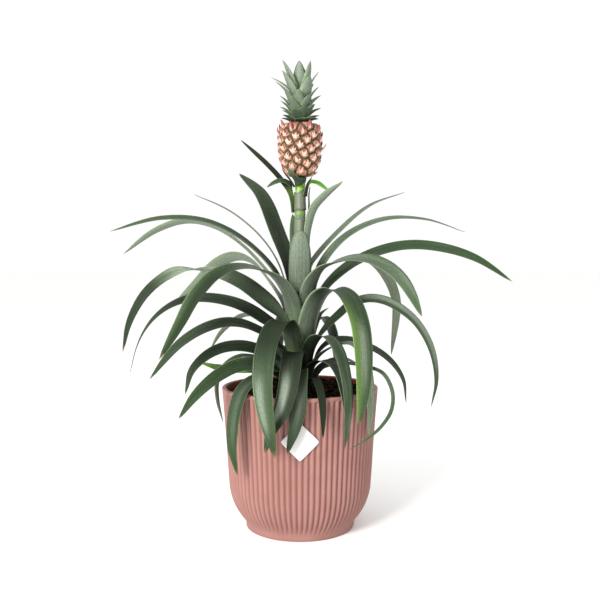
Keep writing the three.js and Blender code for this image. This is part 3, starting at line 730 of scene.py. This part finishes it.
def bract_material():
    """Papery pointed scales on the eyes: each its own tint from cream to salmon at the foot, streaked
    along its veins, dull red at the point and the margins, and reddest round the top of the fruit."""
    material, tree = new_material("papery_scale_pink")
    in_mm, share, tone = (
        add(tree, "Attribute", attribute_name=layer, out="Vector") for layer in BLADE_LAYERS)
    reddish = add(tree, "SeparateXYZ", {0: tone})
    across, along, seed = add(tree, "SeparateXYZ", {0: share}, out=slice(0, 3))
    # veins 0.6 mm apart
    fine = add(tree, "VectorMath", {0: in_mm, 1: (1.6, 0.6, 0), 2: share}, operation="MULTIPLY_ADD")
    veins = add(tree, "TexNoise", {"Vector": fine, "Scale": 1.0, "Detail": 3.0, "Roughness": 0.65})
    off_middle = add(tree, "Math", {0: across}, operation="ABSOLUTE")
    red = add(tree, "Math", {0: off_middle, 1: along}, operation="ADD")
    red = add(tree, "Math", {0: red, 1: reddish}, operation="ADD")
    red = add(tree, "MapRange", {0: red, 1: 0.7, 2: 1.4, 3: 0.0, 4: 0.95}, **EASED)
    streaked = add(tree, "MapRange", {0: veins, 1: 0.42, 2: 0.58, 3: 0.0, 4: 0.7})
    # the golden section spreads the tints of eyes that follow one another
    tint = add(tree, "Math", {0: seed, 1: 0.618}, operation="MULTIPLY")
    tint = add(tree, "Math", {0: tint}, operation="FRACT")
    pale = add(tree, "Mix", {0: tint, 6: paint("#ecd2c5"), 7: paint("#c28b7b")}, **COLOURS)
    colour = add(tree, "Mix", {0: streaked, 6: pale, 7: paint("#a0604f")}, **COLOURS)
    colour = add(tree, "Mix", {0: red, 6: colour, 7: paint("#7c3833")}, **COLOURS)
    ridged = add(tree, "Bump", {"Height": veins, "Strength": 0.5, "Distance": 0.3 * MM})
    finish_material(tree, Base_Color=colour, Roughness=0.55, Normal=ridged, IOR=1.45)
    return material


def curved_stations(points, width, fold, taper, thick, count):
    """Stations of a channelled blade along the curve through three points in metres. Its width and
    thickness are in mm, fold is half the angle that its channel turns through at the foot, and a
    larger taper narrows it sooner."""
    first, second, third = points
    stations = []
    for k in range(count):
        u = 0.96 * k / (count - 1)
        centre = (first * (2 * (u - 0.5) * (u - 1)) + second * (-4 * u * (u - 1))
                  + third * (2 * u * (u - 0.5)))
        along = first * (4 * u - 3) + second * (4 - 8 * u) + third * (4 * u - 1)
        along.normalize()
        side = Vector((-centre.y, centre.x, 0)).normalized()
        side = (side - along * side.dot(along)).normalized()
        inward = along.cross(side)
        half = width * MM / 2 * (1 - u ** 2) ** taper
        opening = fold * (1 - 0.5 * u)
        bend = half / opening
        rise = inward * (bend * (1 - math.cos(opening)))
        reach = side * (bend * math.sin(opening))
        depth = -inward * thick * MM * (1 - 0.6 * u)
        stations.append((centre - reach + rise, centre, centre + reach + rise, depth))
    return stations + [(third, third, third, stations[-1][3] * 0.5)]


SCALE_LENGTH = 5.4
SPIKE_LENGTH = 7.4
LOBE_WIDTH = 3.2
SCALE_TOP = 358         # the scales' tips follow the barrel no higher than this


def build_scales():
    """On each eye one pointed scale, made star shaped by a small lobe at either side."""
    bm = bmesh.new()
    spike = eye_tree.find(fruit_place(*SPIKE_AT))[1]
    for index, (height, bearing) in enumerate(eyes):
        top = smooth(346, 355, height)
        length = SCALE_LENGTH + 2.0 * top + chance.uniform(-0.8, 0.8)
        lean = chance.uniform(-0.09, 0.09)
        lift = 1.2 + 1.0 * top + chance.uniform(0, 0.6)
        if index == spike:
            length, lift = SPIKE_LENGTH, 3.4
        start = height - 2.4
        # bearing at the foot and the tip, lowest point, rise, width, and how far the middle stands out
        blades = [(0, lean, start, length, chance.uniform(4.9, 6.1) + 0.6 * top, lift)]
        for hand in (-1, 1):
            spread = hand * chance.uniform(0.13, 0.2)
            rise = chance.uniform(1.8, 4.4)
            blades.append((0.25 * spread, spread, start + 0.9, rise, LOBE_WIDTH, 1.1))
        for from_side, to_side, low, rise, width, out in blades:
            tip_height = low + rise
            bulge = 1.35 if index == spike else 0.7 + 0.4 * top
            reach = between(FRUIT_PROFILE, min(tip_height, SCALE_TOP)) + bulge * out
            angle = bearing + to_side
            foot = fruit_place(low, bearing + from_side, 0.4)
            middle = fruit_place(low + 0.5 * rise, bearing + (from_side + to_side) / 2, out)
            tip = Vector((reach * math.cos(angle), reach * math.sin(angle), tip_height)) * MM
            stations = curved_stations((foot, middle, tip), width, fold=0.9, taper=0.6,
                                       thick=0.5, count=6)
            blade_skin(bm, stations, index, columns=3, row_length=1.0 * MM, ripple=0,
                       tones=lambda v, s: (0.6 * top, 0, 0))
    return bm


make_piece("fruit_rind", build_rind(), rind_material(), "fruit", "fruit")
make_piece("fruit_scales", build_scales(), bract_material(), "fruit")


# -------- crown

# the short stem inside the tuft: (radius, height) in mm
CROWN_CORE = [(0, 360.4), (8, 360.4), (8.6, 368), (7.4, 382), (4.5, 396), (2, 403), (0, 404)]
# [azimuth in degrees, foot height, tip reach, tip height, width]; the front's leaves, then the back's
CROWN_LEAVES = [
    [262, 386, 5, 415, 17], [320, 386, 12, 414, 13], [205, 382, 17, 415, 16], [215, 374, 19, 405, 17],
    [5, 384, 17, 407, 11], [184, 380, 26, 401, 10], [200, 372, 23, 396, 11], [312, 376, 13, 401, 20],
    [264, 368, 15, 388, 18], [355, 376, 17, 393, 11], [350, 369, 19, 385, 15], [186, 368, 18, 385, 13],
    [195, 366, 18, 380, 11], [190, 364, 18, 375, 12], [352, 364, 19, 374, 13], [285, 362, 16, 373, 19],
    [345, 362, 18, 367, 13], [325, 361, 18, 364, 13], [205, 362, 17, 367, 13], [240, 365, 15, 380, 17],
    [306, 366, 15, 384, 17], [228, 361, 17, 363, 13], [262, 361, 16, 362, 13], [300, 361, 17, 363, 13],
    [250, 362, 17, 370, 15], [320, 363, 17, 376, 14], [220, 367, 18, 388, 14],
    [75, 386, 10, 413, 15], [120, 380, 16, 403, 15], [45, 378, 17, 399, 15], [90, 372, 16, 391, 18],
    [135, 368, 18, 385, 16], [50, 367, 18, 383, 16], [105, 363, 17, 374, 16], [22, 364, 19, 375, 13],
    [155, 364, 18, 374, 13], [70, 362, 17, 368, 15], [125, 361, 17, 365, 14], [20, 361, 18, 366, 13],
    [170, 361, 17, 366, 13],
]


def around(reach, azimuth, height):
    """A point in metres at a distance from the plant's axis, an azimuth in degrees and a height."""
    angle = math.radians(azimuth)
    return Vector((reach * math.cos(angle), reach * math.sin(angle), height)) * MM


def build_crown():
    """The tuft: every leaf hugs the core for half its length and then stands out."""
    bm = bmesh.new()
    spun(bm, CROWN_CORE, 32)
    for index, (azimuth, foot, reach, height, width) in enumerate(CROWN_LEAVES):
        rise = height - foot
        middle = around(min(9.8, 0.8 * reach), azimuth, foot + 0.5 * rise)
        points = (around(4.5, azimuth, foot - 2), middle, around(reach, azimuth, height))
        young = 0.85 if index % 3 == 1 else 0.3
        # painted shade on the feet, and on the lower leaves all along; the bloom thickens on the higher
        # leaves, partly painted light on the tuft's top
        foot_shade = 0.95 if height < 374 else 0.5
        whole_shade = 0.55 * (1 - smooth(364, 392, height))
        powder_and_sheen = 0.1 + 0.25 * smooth(380, 405, height)

        def tones(v, s):
            lime = young * (1 - smooth(0.35, 0.8, s)) * smooth(0.2, 0.9, abs(v))
            return lime, max(foot_shade * (1 - smooth(0.12, 0.6, s)), whole_shade), powder_and_sheen

        stations = curved_stations(points, width, fold=1.0, taper=0.75, thick=0.7, count=12)
        blade_skin(bm, stations, index + 60, columns=5, row_length=1.6 * MM, ripple=0.25 * MM,
                   tones=tones)
    return bm


# crown leaf, thick with bloom: pale grey green with little streaking
crown_finish = leaf_material("crown_leaf_bloomed", "#4b5946", "#303e2b", "#3c5a2a", "#505e4b",
                             bloom=0.72, freshness=0.3, streaks=0.14)
make_piece("crown_leaves", build_crown(), crown_finish, "crown", "crown")


# -------- stem and fruit stalk

# (radius, height) in mm
STALK = [
    (0, 92), (7, 92), (8.6, 108), (8.6, 190), (7.4, 226), (5.4, 254), (4.8, 268), (4.6, 276),
    (4.9, 279.5), (5.0, 282), (4.5, 285), (4.3, 292), (4.4, 299), (4.1, 301), (4.3, 304),
    (4.7, 307.5), (5.6, 311), (6.0, 312.9), (0, 312.9),
]
STALK_BANDS = [
    # from, to in mm, colour: lower sheath, fresh joint, upper sheath, fresh stem, dark collar
    (240, 278, "#5c6753"), (278.5, 282.5, "#66893a"), (283.5, 300, "#5f6553"),
    (300.8, 307.6, "#7da543"), (308.8, 316, "#2f4724"),
]
SHEATHS = [
    # each a dried tube: (radius, height) up its side in mm, torn at the top
    [(6.3, 250), (5.6, 260), (5.1, 270), (4.95, 277)],
    [(5.2, 284), (4.8, 292), (4.95, 300)],
]
SHEATH_THICKNESS = 0.35
STALK_ROW = 2.5
STALK_STEPS = 48


def torn_tube(profile):
    """A thin papery tube with a ragged, slanting top edge."""
    tube = bmesh.new()
    spun(tube, profile, STALK_STEPS)
    upright = [e for e in tube.edges if abs(e.verts[0].co.z - e.verts[1].co.z) > MM]
    bmesh.ops.subdivide_edges(tube, edges=upright, cuts=3)
    top = profile[-1][1] * MM
    for vertex in tube.verts:
        x, y, z = vertex.co
        near_top = smooth(top - 9 * MM, top, z)
        slant = 1.3 * math.sin(math.atan2(y, x) + 0.6)
        tear = 1.1 * noise.noise(Vector((3 * x, 3 * y, top)) / (4 * MM))
        vertex.co.z += near_top * MM * (slant + tear)
        vertex.co.xy *= 1 + 0.05 * noise.noise(Vector((x, y, z * 0.2)) / (2.2 * MM))
    bmesh.ops.recalc_face_normals(tube, faces=tube.faces)
    bmesh.ops.solidify(tube, geom=tube.faces[:], thickness=SHEATH_THICKNESS * MM)
    return tube


def build_stalk():
    """The stem and fruit stalk in one, faintly fluted, with its two dried sheaths."""
    bm = bmesh.new()
    fine = []
    for (r0, z0), (r1, z1) in zip(STALK, STALK[1:]):
        count = max(1, round((z1 - z0) / STALK_ROW))
        fine += [(r0 + (r1 - r0) * k / count, z0 + (z1 - z0) * k / count) for k in range(count)]
    spun(bm, fine + [STALK[-1]], STALK_STEPS)
    for vertex in bm.verts:
        reach = math.hypot(vertex.co.x, vertex.co.y)
        if reach > 2 * MM:
            x, y, z = vertex.co / MM
            flute = 0.22 * noise.noise(Vector((x / 1.6, y / 1.6, z / 18)))
            vertex.co.xy *= 1 + flute * MM / reach
    for profile in SHEATHS:
        tube = torn_tube(profile)
        mesh = bpy.data.meshes.new("sheath")
        tube.to_mesh(mesh)
        tube.free()
        bm.from_mesh(mesh)
        bpy.data.meshes.remove(mesh)
    return bm


def stalk_material():
    """A fleshy green stalk in dried, papery sheaths: grey green and fibrous, bright lime at the joints
    and dark under the fruit."""
    material, tree = new_material("stalk_with_dried_sheath")
    place = add(tree, "TexCoord", out="Object")
    height = add(tree, "SeparateXYZ", {0: place}, out=2)
    # fibres along the stalk, about 1 mm apart
    drawn = add(tree, "VectorMath", {0: place, 1: (1000, 1000, 60)}, operation="MULTIPLY")
    fibres = add(tree, "TexNoise", {"Vector": drawn, "Scale": 1.0, "Detail": 3.0})
    # the bands' ends wander by 3 mm
    ragged = add(tree, "TexNoise", {"Vector": place, "Scale": 260.0, "Detail": 3.0})
    ragged = add(tree, "MapRange", {0: ragged, 1: 0.3, 2: 0.7, 3: -3 * MM, 4: 3 * MM})
    height = add(tree, "Math", {0: height, 1: ragged}, operation="ADD")
    colour = add(tree, "Mix", {0: fibres, 6: paint("#485740"), 7: paint("#6e7c65")}, **COLOURS)
    for low, high, code in STALK_BANDS:
        start = add(tree, "MapRange", {0: height, 1: (low - 1) * MM, 2: (low + 1) * MM}, **EASED)
        end = add(tree, "MapRange", {0: height, 1: (high - 1) * MM, 2: (high + 1) * MM, 3: 1.0, 4: 0.0},
                  **EASED)
        inside = add(tree, "Math", {0: start, 1: end}, operation="MULTIPLY")
        colour = add(tree, "Mix", {0: inside, 6: colour, 7: paint(code)}, **COLOURS)
    streaked = add(tree, "MapRange", {0: fibres, 1: 0.3, 2: 0.7, 3: 0.8, 4: 1.12})
    colour = add(tree, "VectorMath", {0: colour, 3: streaked}, operation="SCALE")
    ribbed = add(tree, "Bump", {"Height": fibres, "Strength": 0.5, "Distance": 0.3 * MM})
    finish_material(tree, Base_Color=colour, Roughness=0.5, Normal=ribbed, IOR=1.45)
    return material


make_piece("stalk_sheathed", build_stalk(), stalk_material(), "stem", "stem")


# -------- label

# millimetres
LABEL_MIDDLE = 90
LABEL_HALF_DIAGONAL = 16.3
LABEL_CELLS = 28
LABEL_THICKNESS = 0.4
LABEL_STAND_OFF = 0.35
WALL_FOOT = (63.8, 36)      # the ribbed wall's radius and height where its straight flare begins
WALL_FLARE = 6 / 84         # how much wider it is for each millimetre up
WALL_AT_LABEL = 67.7        # its radius behind the label's middle


def build_label():
    """A square sheet on its corner, with rounded corners, laid round the wall."""
    bm = bmesh.new()
    bmesh.ops.create_grid(bm, x_segments=LABEL_CELLS, y_segments=LABEL_CELLS, size=1)
    for vertex in bm.verts:
        x, y = vertex.co.x, vertex.co.y
        rounding = 1 - 0.035 * smooth(0.75, 1, abs(x)) * smooth(0.75, 1, abs(y))
        across = LABEL_HALF_DIAGONAL * (x - y) / 2 * rounding
        up = LABEL_HALF_DIAGONAL * (x + y) / 2 * rounding
        height = LABEL_MIDDLE + up
        reach = WALL_FOOT[0] + (height - WALL_FOOT[1]) * WALL_FLARE + LABEL_STAND_OFF
        angle = across / WALL_AT_LABEL - math.pi / 2
        vertex.co = Vector((reach * math.cos(angle), reach * math.sin(angle), height)) * MM
    bmesh.ops.recalc_face_normals(bm, faces=bm.faces)
    bmesh.ops.solidify(bm, geom=bm.faces[:], thickness=LABEL_THICKNESS * MM)
    return bm


def label_material():
    """Coated white label paper: even, faintly clouded, with a soft satin face."""
    material, tree = new_material("label_paper_coated_white")
    place = add(tree, "TexCoord", out="Object")
    # paper pulp about 0.8 mm across, and clouds of about 11 mm
    pulp = add(tree, "TexNoise", {"Vector": place, "Scale": 1200.0, "Detail": 4.0})
    clouds = add(tree, "TexNoise", {"Vector": place, "Scale": 90.0, "Detail": 2.0})
    tone = add(tree, "MapRange", {0: clouds, 1: 0.3, 2: 0.7, 3: 0.0, 4: 1.0})
    colour = add(tree, "Mix", {0: tone, 6: paint("#c9c8c5"), 7: paint("#d3d2cf")}, **COLOURS)
    matt = add(tree, "MapRange", {0: pulp, 1: 0.3, 2: 0.7, 3: 0.38, 4: 0.52})
    tooth = add(tree, "Bump", {"Height": pulp, "Strength": 0.2, "Distance": 0.05 * MM})
    finish_material(tree, Base_Color=colour, Roughness=matt, Normal=tooth, IOR=1.5)
    return material


make_piece("label_blank", build_label(), label_material(), "label", "pot_label")


# -------- floor, light, camera

FLOOR_HALF_SIZE = 40            # metres
WORLD_STRENGTH = 1.03
SENSOR_WIDTH = 36               # mm
LENS = 46.08                    # mm
CAMERA_PLACE = (0.0, -0.690, 0.235)
CAMERA_TILT = 87.39             # degrees up from straight down

# pale matt board: an even near white that takes a soft shadow
floor_material, floor_tree = new_material("studio_floor_pale")
floor_place = add(floor_tree, "TexCoord", out="Object")
floor_clouds = add(floor_tree, "TexNoise", {"Vector": floor_place, "Scale": 3.0})
floor_tone = add(floor_tree, "Mix", {0: floor_clouds, 6: paint("#fafaf9"), 7: paint("#fcfcfb")},
                 **COLOURS)
finish_material(floor_tree, Base_Color=floor_tone, Roughness=0.7)
floor_bm = bmesh.new()
bmesh.ops.create_grid(floor_bm, x_segments=1, y_segments=1, size=FLOOR_HALF_SIZE)
floor_mesh = bpy.data.meshes.new("studio_floor")
floor_bm.to_mesh(floor_mesh)
floor_bm.free()
floor_mesh.materials.append(floor_material)
floor = bpy.data.objects.new("studio_floor", floor_mesh)
bpy.context.scene.collection.objects.link(floor)

world = bpy.data.worlds.new("studio")
world.use_nodes = True
background = world.node_tree.nodes["Background"]
background.inputs["Color"].default_value = (1, 1, 1, 1)
background.inputs["Strength"].default_value = WORLD_STRENGTH
bpy.context.scene.world = world

SOFTBOXES = [
    # name, place, aim, size in metres and watts
    ("key", (-0.8, -1.25, 0.75), (0, 0, 0.2), 0.5, 34.0),
    ("top", (-0.2, -0.3, 1.5), (0, 0, 0.2), 0.6, 1.5),
    ("fill", (1.2, -0.9, 0.5), (0, 0, 0.2), 0.9, 0.4),
]
for name, place, aim, size, watts in SOFTBOXES:
    lamp = bpy.data.lights.new(name, "AREA")
    lamp.shape = "SQUARE"
    lamp.size = size
    lamp.energy = watts
    light = bpy.data.objects.new(name, lamp)
    light.location = place
    light.rotation_euler = (Vector(aim) - Vector(place)).to_track_quat("-Z", "Y").to_euler()
    bpy.context.scene.collection.objects.link(light)

camera_data = bpy.data.cameras.new("camera")
camera_data.sensor_width = SENSOR_WIDTH
camera_data.lens = LENS
camera = bpy.data.objects.new("camera", camera_data)
camera.location = CAMERA_PLACE
camera.rotation_euler = (math.radians(CAMERA_TILT), 0, 0)
bpy.context.scene.collection.objects.link(camera)
bpy.context.scene.camera = camera
bpy.context.scene.view_settings.view_transform = "Standard"
